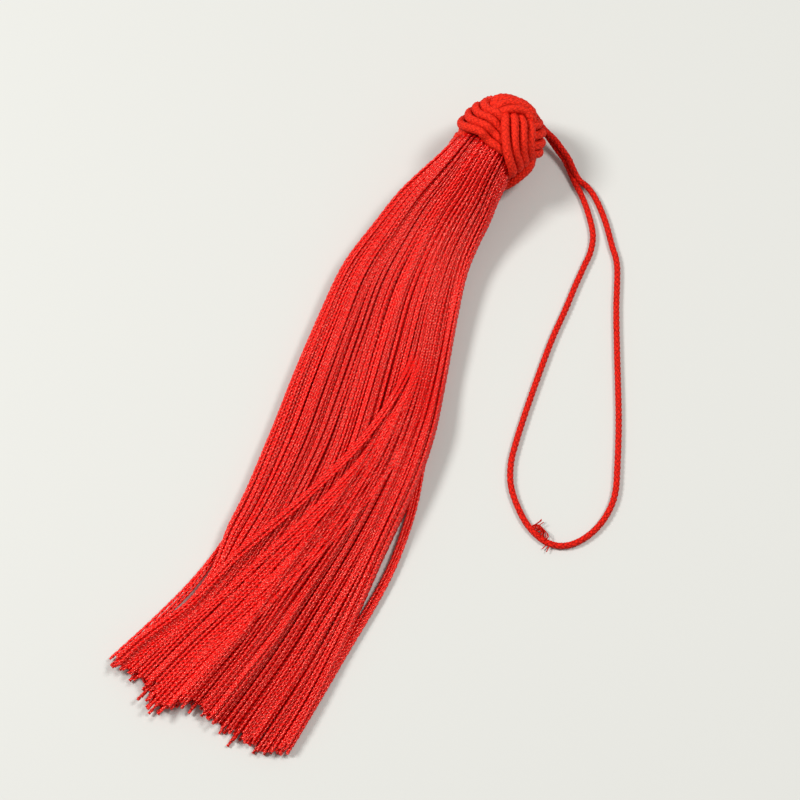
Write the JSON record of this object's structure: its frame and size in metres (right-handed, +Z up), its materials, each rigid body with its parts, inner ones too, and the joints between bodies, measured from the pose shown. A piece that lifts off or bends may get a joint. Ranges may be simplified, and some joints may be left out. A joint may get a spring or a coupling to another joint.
{
  "type": "tassel",
  "caption": "Tassel laid flat: a ball knot woven from round cord, a long fringe of twisted threads bound inside it, and a hanging loop of thin cord.",
  "frame": {"origin": "under the middle of the knot and fringe, on the surface that they lie on", "axes": "+Z up from that surface, +Y along the tassel from the fringe's tips to the knot, +X to the right of the fringe seen from above with the knot at the far end, on the side where the loop lies"},
  "size_m": [0.0703, 0.1406, 0.0173],
  "materials": {
    "fringe_thread": "lustrous two-ply twisted thread",
    "knot_cord": "matte round braided cord",
    "loop_cord": "matte thin braided cord"
  },
  "bodies": {
    "root": {"fringe": "fringe_thread", "knot": "knot_cord", "hanging_loop": "loop_cord"}
  },
  "joints": []
}
